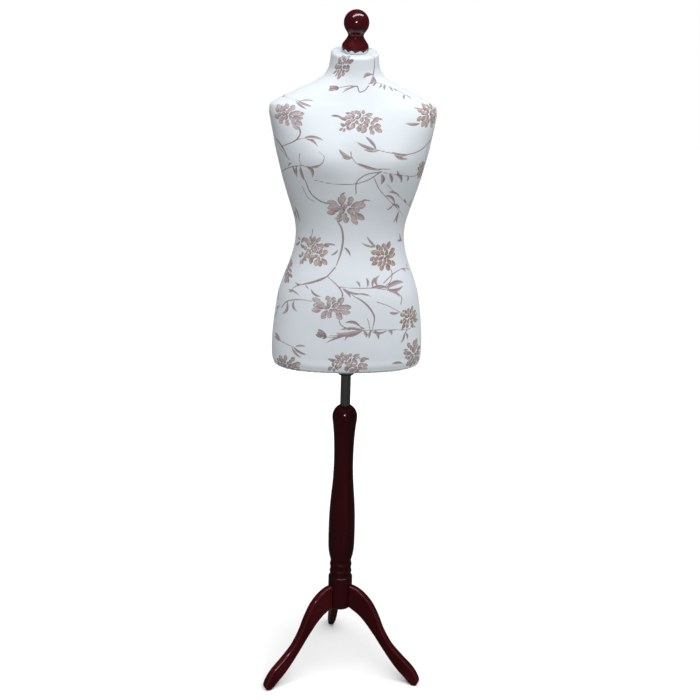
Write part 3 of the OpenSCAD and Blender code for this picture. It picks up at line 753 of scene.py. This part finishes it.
def draw_print(across, along):
    ink = Print(across, along)
    for points, start, end in STEMS:
        ink.stem(points, 0.85 * start, 0.85 * end, 0.66)
    for points, width in THICK_STEMS:
        ink.stem(points, 0.9 * width, 0.9 * width, 0.56, double=True)
    for k, (base, tip, width, bend) in enumerate(LEAVES):
        ink.leaf(base, tip, 0.8 * width, bend, 0.26 + 0.05 * (k % 4))
    for base, tip, width in BUDS:
        ink.bud(base, tip, width)
    for centre, width, height, brown, seed, turn in SPRAYS:
        ink.spray(centre, width, height, brown, seed, turn)
    for centre, width, height, brown, seed, tilt, dark in BLOOMS:
        ink.bloom(centre, width, height, brown, seed, tone=dark, tilt=tilt)
    return ink


# The cloth's pattern comes again after this length; the back is the same cloth, turned and moved up.
REPEAT = 560
BACK_SHIFT = 225
SEAM_HALF, PUCKER = 2.4, 8
HEM_GATHERS, MOUTH_GATHERS = 61, 26


def make_cover(back, material):
    levels, points, across, along = half_cover(back, 250, 2.12)
    rows, columns = across.shape
    normal = np.cross(np.gradient(points, axis=1), np.gradient(points, axis=0))
    normal /= np.linalg.norm(normal, axis=2, keepdims=True) + 1e-9
    half = across[:, -1:]
    from_seam = np.minimum(half - across, across + half)
    # Pulled in along the side seams, with the small puckers of their stitches.
    pucker = np.exp(-from_seam / 6) * np.sin(along * TAU / PUCKER)
    dip = 0.28 * pucker - np.exp(-((from_seam / SEAM_HALF) ** 2))
    # The cloth's own slight unevenness over the foam.
    drift = 0.22 * np.sin(across / 29 + along / 53) * np.sin(along / 37 - across / 67)
    # Gathers of the hem under the base and just above it, and of the mouth under the knob.
    height = levels[:, :1]
    under = np.clip(-(along - along[np.argmax(height > 0)]) / HEM_REACH, 0, 1)
    angle = np.arctan2(points[..., 1], points[..., 0])
    radius = np.hypot(points[..., 0], points[..., 1])
    mouth = np.where(height > TORSO_H - 1, np.clip((46 - radius) / 26, 0, 1), 0) ** 1.5
    gather = np.sin(angle * HEM_GATHERS + 2 * np.sin(angle * 7))
    hem = under**0.7 * (0.55 + 0.45 * gather) * 1.5 * np.clip(from_seam / 10, 0, 1)
    low = 0.35 * gather * np.exp(-np.clip(height, 0, None) / 9) * (height > 0) * np.clip(from_seam / 12, 0, 1)
    ruffle = mouth * 0.55 * (np.sin(angle * MOUTH_GATHERS + 1.5 * np.sin(angle * 5)) - 0.3)
    shift = (dip + drift) * (1 - mouth) * (1 - under) + low + ruffle + hem
    points = points + normal * shift[..., None]
    points[:, 0, 1] = points[:, -1, 1] = 0
    if back:
        ink = draw_print(*np.broadcast_arrays(-across, (along + BACK_SHIFT) % REPEAT + 30))
    else:
        ink = draw_print(across, along)
    side = "back" if back else "front"
    obj = piece(f"cover_{side}_cloth", points.reshape(-1, 3) * MM, grid_faces(rows, columns), "torso",
                material, f"cover_{side}")
    mark(obj, "cloth", "FLOAT_VECTOR", "vector", np.stack([across, along, 0 * across], -1) * MM)
    mark(obj, "ink", "FLOAT_COLOR", "color", np.stack(
        [ink.cover, np.clip(ink.hue, 0, 1), np.clip(ink.tone, 0, 1), np.ones(across.size)], -1))
    return obj


# ---- build

make_camera()
scene = bpy.context.scene
scene.view_settings.view_transform = "Standard"

# Each wood's dark, warm and grain colours.
COLUMN_WOOD = (0.020, 0.0022, 0.003), (0.045, 0.0042, 0.006), (0.012, 0.0015, 0.002)
KNOB_WOOD = (0.055, 0.004, 0.008), (0.115, 0.008, 0.014), (0.035, 0.003, 0.005)
LEG_WOOD = (0.036, 0.0028, 0.0038), (0.066, 0.0052, 0.0072), (0.022, 0.002, 0.003)
# Painted highlight colour for the legs' rounded edges.
LEG_EDGE_HIGHLIGHT = (0.095, 0.013, 0.018)

jersey_paint = jersey("jersey_print")
wood_column = lacquered_wood("mahogany_column", COLUMN_WOOD, (1, 1, 0.09))
wood_knob = lacquered_wood("mahogany_knob", KNOB_WOOD, (1, 1, 0.2), gloss=0.6)

front = make_cover(False, jersey_paint)
rear = make_cover(True, jersey_paint)

HEM_LOW, HEM_HIGH = 797.9, 800.2
HEM_IN, HEM_WIDE = 0.4, 8.6
HEM_RIBS = 105
# Across and up, as shares of the band's width and thickness.
HEM_SECTION = [
    (0, 0.5), (0.04, 0.15), (0.12, 0), (0.35, 0), (0.5, 0.06), (0.65, 0), (0.88, 0), (0.96, 0.15), (1, 0.5),
    (0.96, 0.85), (0.88, 1), (0.12, 1), (0.04, 0.85),
]


def make_hem():
    """Ribbed elastic in the cover's edge below the base."""
    count = 420
    base = BODY[0, 1:4] - HEM_REACH

    def line(grow):
        x, y = oval(np.append(around_angles(count), 0), *(base + grow), BODY[0, 4])
        even, _, length = even_steps(np.stack([x, y], -1), count, closed=True)
        return even, length

    (inner, run), (outer, _) = line(HEM_IN), line(HEM_WIDE)
    wave = 0.5 + 0.5 * np.sin(around_angles(count) * HEM_RIBS)
    along = np.arange(count) * run / count
    points, cloth = [], []
    for share, high in HEM_SECTION:
        level = HEM_LOW + (HEM_HIGH - HEM_LOW) * high + np.where(high < 0.5, 0.45 * wave, 0)
        points.append(np.column_stack([inner + (outer - inner) * share, level]))
        cloth.append(np.column_stack([np.full(count, share * HEM_WIDE), along, 0 * along]))
    points = np.vstack(points)
    rows = grid_faces(len(HEM_SECTION) + 1, count, closed=True)
    faces = [[k % len(points) for k in (a, d, c, b)] for a, b, c, d in rows]
    web = elastic("hem_elastic_web")
    obj = piece("hem_elastic", points * MM, faces, "torso", web, "hem_band")
    mark(obj, "cloth", "FLOAT_VECTOR", "vector", np.array(cloth) * MM)


make_hem()

# The middle of the neck's sloping top.
NECK = Matrix.Translation((0, 0, (TORSO_Z + TORSO_H) * MM)) @ Matrix.Rotation(NECK_SLOPE, 4, "X")
KNOB_LIFT, FLARE_R, FLARE_H, KNOB_FOOT_R = 0.6, 29.3, 13, 22
FRILL_TEETH, FRILL_HIGH, TOOTH_HIGH = 11, 4.0, 5.2


def make_frill():
    """The gathered edge of the cover's mouth, standing up round the foot of the knob."""
    count = 360
    angle = around_angles(count)
    turn = angle * FRILL_TEETH + 0.35 * np.sin(3 * angle + 0.8)
    tooth = np.abs(((turn / TAU + 0.3) % 1) - 0.5) * 2
    rows, cloth = [], []
    for t in np.linspace(0, 1, 9):
        z = 0.3 + (FRILL_HIGH + TOOTH_HIGH * tooth) * t
        under = np.clip((z - FLARE_H) / (FLARE_H - KNOB_LIFT), -1, 0)
        knob_r = KNOB_FOOT_R + (FLARE_R - KNOB_FOOT_R) * np.sqrt(1 - under**2)
        r = knob_r + 1.2 + 3.2 * (1 - t) ** 2 + 0.4 * t + 0.5 * np.sin(2 * turn) * (0.4 + 0.6 * t)
        rows.append(circle(r, angle, z))
        cloth.append(np.stack([angle * 24, 0 * angle + t * 9, 0 * angle], -1))
    points, faces = placed(np.vstack(rows) * MM, NECK), grid_faces(len(rows), count, closed=True)
    obj = piece("neck_frill", points, faces, "torso", jersey("jersey_plain", False))
    mark(obj, "cloth", "FLOAT_VECTOR", "vector", np.array(cloth) * MM)


make_frill()

# ---- turned wood

TURNING = [
    [293, 25.3], [299, 26.7], [308, 28.9], [322, 31.1], [342, 32.1], [368, 32.3], [404, 31.8],
    [436, 30.4], [467, 28.1], [500, 25.3], [530, 23.8], [560, 23.3], [590, 23.8], [620, 25.2],
    [645, 27.4], [658, 29.2], [668, 29.8],
]
COLUMN_Z, COLUMN_TOP = 170, 697
COLLAR_R, COLLAR_TOP = 29.6, 247
BEADS, BEAD_H, BEAD_R, GROOVE_R = (264, 282), 9, 27, 25.6
DOME_R, DOME_Z = 29.8, 668
BORE_R, BORE_Z = 12.08, 560


def arc(centre, reach, degrees):
    """Points on an arc; centre and reach are each (radius, height)."""
    (x, y), (wide, high) = centre, reach
    return [[x + wide * math.cos(a), y + high * math.sin(a)] for a in np.radians(degrees)]


def column_outline():
    foot, top = COLUMN_Z, COLUMN_TOP
    line = [[3.6, foot], [COLLAR_R - 2, foot], [COLLAR_R - 0.6, foot + 0.6], [COLLAR_R, foot + 2]]
    line += [[COLLAR_R, z] for z in np.linspace(foot + 12, COLLAR_TOP - 2, 8)]
    line += arc((COLLAR_R - 3.8, COLLAR_TOP), (3.8, 5), np.linspace(math.degrees(0.1), 90, 8))
    line += [[GROOVE_R, COLLAR_TOP + 5.6]]
    for z in BEADS:
        line += arc((GROOVE_R, z), (BEAD_R - GROOVE_R, BEAD_H / 2), np.arange(-85, 86, 17))
    line += [[p[1], p[0]] for p in smooth_line(TURNING, 8)]
    rise = (top - DOME_Z) / math.sin(math.radians(70))
    line += arc((0, DOME_Z), (DOME_R, rise), np.arange(6, 66, 5))
    line += [[13.4, top - 0.75], [12.9, top - 0.7], [12.3, top - 1.2], [BORE_R, top - 3], [BORE_R, top - 40]]
    return line + [[BORE_R, BORE_Z]]


points, faces = lathe_mesh(column_outline(), 96)
column = piece("column_turned", points * MM, faces, "stand", wood_column, "column")
set_edges(column, 50)

KNOB_WAIST = [[27.6, 17], [24.4, 21.5], [21.2, 26], [18.7, 30.5], [17.2, 34], [17.4, 37], [19, 41.2]]
BALL_R, BALL_H, BALL_JOIN = 27.7, 62.4, 37
STUD_R, PITCH, THREAD_DEPTH = 3.95, 1.25, 0.7


def knob_outline():
    foot = arc((KNOB_FOOT_R, FLARE_H), (FLARE_R - KNOB_FOOT_R, FLARE_H - KNOB_LIFT), np.arange(-90, 1, 9))
    ball = arc((0, BALL_H), (BALL_R, BALL_R), np.arange(-BALL_JOIN, 88, 5))
    waist = smooth_line([foot[-1]] + KNOB_WAIST + [ball[0]], 5)[1:-1].tolist()
    hole = [[STUD_R + 0.06, 20], [STUD_R + 0.06, KNOB_LIFT], [8, KNOB_LIFT]]
    return hole + foot + waist + ball + [[0.6, BALL_H + BALL_R]]


points, faces = lathe_mesh(knob_outline(), 96)
points = placed(points * MM, NECK)
knob = piece("neck_knob_turned", points, faces, "neck_head", wood_knob, "neck_knob")
set_edges(knob, 60)

# ---- legs

LEG_T = 18
PAD_T = 3
UPPER_EDGE = [
    [28, 229], [45, 225], [65, 214], [86, 194], [104, 164], [120, 129], [142, 96], [171, 70],
    [197, 49], [212, 31], [219, 14], [215, PAD_T],
]
LOWER_EDGE = [
    [198, PAD_T], [184, 15], [163, 33], [143, 54], [118, 85], [92, 118], [61, 151], [28, 171],
]
LEG_ANGLES = {"leg_rear": 90, "leg_left": 210, "leg_right": 330}
EDGE_R, EDGE_STEPS = 4.2, 6
TONGUE_X, TONGUE_Y, TONGUE_Z = (16, 31), (-6, 6), (170, 222)
BOX_FACES = ((0, 1, 3, 2), (4, 6, 7, 5), (0, 4, 5, 1), (2, 3, 7, 6), (0, 2, 6, 4), (1, 5, 7, 3))


def inset_line(line, amount):
    """A closed line moved inwards by amount, point by point."""
    before, after = np.roll(line, 1, axis=0), np.roll(line, -1, axis=0)
    a = (line - before) / np.linalg.norm(line - before, axis=1, keepdims=True)
    b = (after - line) / np.linalg.norm(after - line, axis=1, keepdims=True)
    n = np.stack([-(a + b)[:, 1], (a + b)[:, 0]], -1)
    n /= np.linalg.norm(n, axis=1, keepdims=True)
    lean = np.sum(n * np.stack([-a[:, 1], a[:, 0]], -1), axis=1)
    return line + n * (amount / np.maximum(lean, 0.5))[:, None]


def make_leg(name, turn):
    outline = np.vstack([smooth_line(UPPER_EDGE, 6), smooth_line(LOWER_EDGE, 6)])[::-1]
    side = []
    for a in [math.pi / 2 * k / EDGE_STEPS for k in range(EDGE_STEPS + 1)]:
        side.append((EDGE_R * (1 - math.sin(a)), LEG_T / 2 - EDGE_R * (1 - math.cos(a))))
    profile = side + [(0, 3.0), (0, -3.0)] + [(d, -y) for d, y in side[::-1]]
    count = len(outline)
    points, edge = [], []
    for depth, y in profile:
        rounding = depth > 1e-6
        line = inset_line(outline, depth) if rounding else outline
        points.append(np.column_stack([line[:, 0], np.full(count, y), line[:, 1]]))
        # How much painted highlight each ring takes: most on the rounded edges, a little (0.12) on the narrow
        # sides, none on the broad faces.
        edge += [math.sin(math.pi * min(1, depth / EDGE_R)) if rounding else 0.12] * count
    tongue = [(x, y, z) for x in TONGUE_X for y in TONGUE_Y for z in TONGUE_Z]
    start = count * len(profile)
    faces = rod_faces(len(profile), count) + [[start + k for k in face] for face in BOX_FACES]
    points = np.vstack(points + [tongue])
    wood = lacquered_wood("mahogany_" + name, LEG_WOOD, leg_stretch(turn), LEG_EDGE_HIGHLIGHT)
    spin = Matrix.Rotation(math.radians(turn), 4, "Z")
    obj = piece(name + "_board", placed(points * MM, spin), faces, "stand", wood, name)
    mark(obj, "edge", "FLOAT", "value", np.array(edge + [0] * len(tongue), np.float32))
    set_edges(obj, 30, outwards=True, most_corners=8)
    weighted = obj.modifiers.new("weighted", "WEIGHTED_NORMAL")
    weighted.keep_sharp = True


def leg_stretch(turn):
    """Grain along the leg: less stretched along its own direction."""
    a = math.radians(turn)
    return 1 - 0.75 * abs(math.cos(a)), 1 - 0.75 * abs(math.sin(a)), 0.3


for leg_name, leg_turn in LEG_ANGLES.items():
    make_leg(leg_name, leg_turn)

# ---- threaded studs

CLAMP_Z = 784.5
steel_bright = brushed_metal("zinc_steel", (0.62, 0.62, 0.60), (0.70, 0.70, 0.68), 0.3, (1, 1, 1))


def thread(name, low, high, matrix, body, replaced):
    """A rod with a real helical thread and bevelled ends."""
    around, per_turn = 32, 8
    rows = int((high - low) / PITCH * per_turn) + 1
    z = np.linspace(low, high, rows)[:, None]
    angle = around_angles(around)
    tooth = np.clip(np.abs((z / PITCH - angle / TAU) % 1.0 - 0.5) * 2.4 - 0.1, 0, 1)
    end = np.clip(np.minimum(z - low, high - z) / 0.9, 0, 1)
    points = circle(STUD_R - THREAD_DEPTH * np.maximum(tooth, 1 - end), angle, z).reshape(-1, 3)
    points, faces = placed(points * MM, matrix), rod_faces(rows, around)
    piece(name, points, faces, body, steel_bright, replaced)


thread("neck_stud_threaded", -26, 26, NECK, "neck_screw", "knob_stud")
CLAMP = Matrix.Translation((0, 0, CLAMP_Z * MM)) @ Matrix.Rotation(-math.pi / 2, 4, "X")
thread("clamp_stud_threaded", 15.4, 58, CLAMP, "clamp_screw", "clamp_stud")

# ---- clamp knob

nylon = moulded("black_nylon", (0.012, 0.012, 0.013), 0.42)
LOBES, LOBE_IN, LOBE_DEPTH = 5, 8.9, 3.1
HUB_R = 7.9
# Distance from the pole, round radius, and how far from that to the lobes.
CLAMP_STATIONS = [
    (38.0, HUB_R - 0.8, 0), (38.4, HUB_R - 0.2, 0), (39.2, HUB_R, 0), (43.2, HUB_R, 0),
    (44.0, HUB_R + 1.2, 0.1), (44.6, 0, 0.86), (45.4, 0, 0.93), (46.8, 0, 0.985), (49, 0, 1),
    (58.5, 0, 1), (60.5, 0, 0.985), (62, 0, 0.94), (63.1, 0, 0.86), (63.75, 0, 0.74), (64.0, 0, 0.6),
    (63.9, 6.4, 0.06), (63.4, 5.9, 0),
    (63.3, 4.1, 0), (55, 4.05, 0),
]


def make_clamp_knob():
    angle = around_angles(180)
    full = LOBE_IN + LOBE_DEPTH * (0.5 + 0.5 * np.cos(LOBES * angle)) ** 0.8
    rings = [circle(base * (1 - share) + full * share, angle, z) for z, base, share in CLAMP_STATIONS]
    points, faces = placed(np.vstack(rings) * MM, CLAMP), rod_faces(len(rings), len(angle))
    obj = piece("clamp_knob_moulded", points, faces, "clamp_head", nylon, "clamp_knob")
    set_edges(obj, 50)


make_clamp_knob()

# ---- screws


def cross_head(radius, height):
    """Points and faces of a domed head with a cross recess; its flat side is at 0."""
    angle, recess = around_angles(48), 0.62 * radius
    rows = []
    for r in np.linspace(0.02, 0.92, 14) * radius:
        x, y = r * np.cos(angle), r * np.sin(angle)
        arm = ((np.abs(x) < recess * 0.26) | (np.abs(y) < recess * 0.26)) & (r < recess)
        z = height * (1 - 0.28 * (r / radius) ** 2)
        rows.append(circle(r, angle, np.where(arm, z - height * 0.5, z)))
    for share, z in ((0.975, 0.62), (1.0, 0.5), (1.0, 0.08), (0.985, 0.0)):
        rows.append(circle(share * radius, angle, z * height))
    return np.vstack(rows), rod_faces(len(rows), len(angle))


def screw_set(name, matrices, radius, height, shank_l, body, replaced):
    head = cross_head(radius, height)
    shank = lathe_mesh([(SHANK_R * 0.8, -shank_l), (SHANK_R, -shank_l + 1), (SHANK_R, 0.1)], 16)
    points, faces, start = [], [], 0
    for matrix in matrices:
        for own_points, own_faces in (head, shank):
            points.append(placed(own_points * MM, matrix))
            faces += [[k + start for k in face] for face in own_faces]
            start += len(own_points)
    obj = piece(name, np.vstack(points), faces, body, steel_bright, replaced)
    set_edges(obj, 40, outwards=True)


def facing_down(radius, angles, height):
    """Places of screws driven upwards, on a circle round the pole."""
    flip = Matrix.Rotation(math.pi, 4, "X")
    return [Matrix.Translation(p * MM) @ flip for p in circle(radius, np.radians(angles), height)]


SHANK_R = 1.99
FLANGE_SCREWS = facing_down(38, [45, 135, 225, 315], 798.5)
PLATE_SCREWS = facing_down(20, [a + 60 for a in LEG_ANGLES.values()], 167.5)
screw_set("flange_screws_cross", FLANGE_SCREWS, 4.0, 2.0, 12.8, "torso", "flange_screws")
screw_set("plate_screws_cross", PLATE_SCREWS, 3.6, 1.6, 2.4, "stand", "plate_screws")

# ---- finishes of the CAD nodes


gunmetal = brushed_metal("pole_gunmetal", (0.30, 0.29, 0.28), (0.38, 0.37, 0.36), 0.27, (1, 1, 0.03), 0.4)
plated = brushed_metal("flange_plated", (0.34, 0.34, 0.33), (0.42, 0.42, 0.41), 0.38, (1, 1, 1), 0.4)
brass = brushed_metal("insert_brass", (0.62, 0.43, 0.17), (0.70, 0.50, 0.22), 0.3, (1, 1, 1))
rubber = moulded("pad_rubber", (0.018, 0.018, 0.019), 0.75, 1400)
ply = plywood("birch_ply")
foam = bead_foam("rigid_bead_foam")
for names, material in (
    (("foam_front", "foam_back"), foam),
    (("base_board", "neck_block"), ply),
    (("base_flange", "leg_plate"), plated),
    (("guide_tube", "pole_screw", "centre_bolt"), steel_bright),
    (("guide_bush", "pole_cap"), nylon),
    (("neck_insert",), brass),
    (("pole",), gunmetal),
    (("foot_pads",), rubber),
):
    for node in names:
        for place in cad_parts[node].material_slots:
            place.material = material

# ---- floor and light

FLOOR_HALF = 14
FLOOR_SEEN, FLOOR_BOUNCE, FLOOR_GLINT = 0.95, 0.3, 0.07


def make_floor():
    """A pale floor that throws little light back up on the object."""
    mesh = bpy.data.meshes.new("floor")
    corners = [(FLOOR_HALF * x, FLOOR_HALF * y, 0) for x, y in ((-1, -1), (1, -1), (1, 1), (-1, 1))]
    mesh.from_pydata(corners, [], [range(4)])
    obj = bpy.data.objects.new("floor", mesh)
    scene.collection.objects.link(obj)
    paint = Paint("floor_pale", Roughness=0.9, Specular_IOR_Level=0.0)
    rays = paint.node("LightPath").outputs
    back = paint.mix(rays["Is Glossy Ray"], (FLOOR_BOUNCE,) * 3, (FLOOR_GLINT,) * 3)
    paint.colour(paint.mix(rays["Is Camera Ray"], back, (FLOOR_SEEN,) * 3))
    mesh.materials.append(paint.material)


make_floor()


def make_world(seen, light, mirrored):
    """Studio surroundings: white behind the object, dim as light on it, darker in its gloss."""
    world = bpy.data.worlds.new("studio")
    world.use_nodes = True
    nodes, links = world.node_tree.nodes, world.node_tree.links
    path, shade = nodes.new("ShaderNodeLightPath"), nodes["Background"].outputs["Background"]
    nodes["Background"].inputs["Color"].default_value = (1, 1, 1, 1)
    nodes["Background"].inputs["Strength"].default_value = light
    for ray, strength in (("Is Glossy Ray", mirrored), ("Is Camera Ray", seen)):
        other, mix = nodes.new("ShaderNodeBackground"), nodes.new("ShaderNodeMixShader")
        other.inputs["Color"].default_value = (1, 1, 1, 1)
        other.inputs["Strength"].default_value = strength
        links.new(path.outputs[ray], mix.inputs["Fac"])
        links.new(shade, mix.inputs[1])
        links.new(other.outputs["Background"], mix.inputs[2])
        shade = mix.outputs["Shader"]
    links.new(shade, nodes["World Output"].inputs["Surface"])
    scene.world = world


def add_lamp(data, place, direction):
    lamp = bpy.data.objects.new(data.name, data)
    scene.collection.objects.link(lamp)
    lamp.location = place
    lamp.rotation_euler = Vector(direction).to_track_quat("-Z", "Y").to_euler()
    lamp.visible_camera = False
    return lamp


def sun_light(name, direction, strength, angle):
    data = bpy.data.lights.new(name, "SUN")
    data.energy, data.angle = strength, math.radians(angle)
    return add_lamp(data, (0, 0, 0), direction)


def area_light(name, place, target, width, height, power):
    data = bpy.data.lights.new(name, "AREA")
    data.shape = "RECTANGLE"
    data.size, data.size_y = width, height
    data.energy = power
    return add_lamp(data, place, Vector(target) - Vector(place))


make_world(1.0, 0.17, 0.04)
for lamp in (
    sun_light("overhead", (-0.08, 0.47, -1), 3.4, 70),
    area_light("key", (0.3, -2.7, 2.6), (0, 0, 1.2), 1.2, 0.9, 9),
    area_light("rear", (0, 3.2, 1.6), (0, 0, 1.2), 1.6, 1.2, 18),
):
    lamp.visible_glossy = False
# These two only give the lacquer its highlights.
for lamp in (
    area_light("strip", (0.18, -0.55, 3.2), (0, 0, 1.5), 3.0, 0.45, 90),
    area_light("flash", (-0.27, -2.55, 1.76), (0, 0, 1.3), 0.24, 0.24, 32),
):
    lamp.visible_diffuse = False
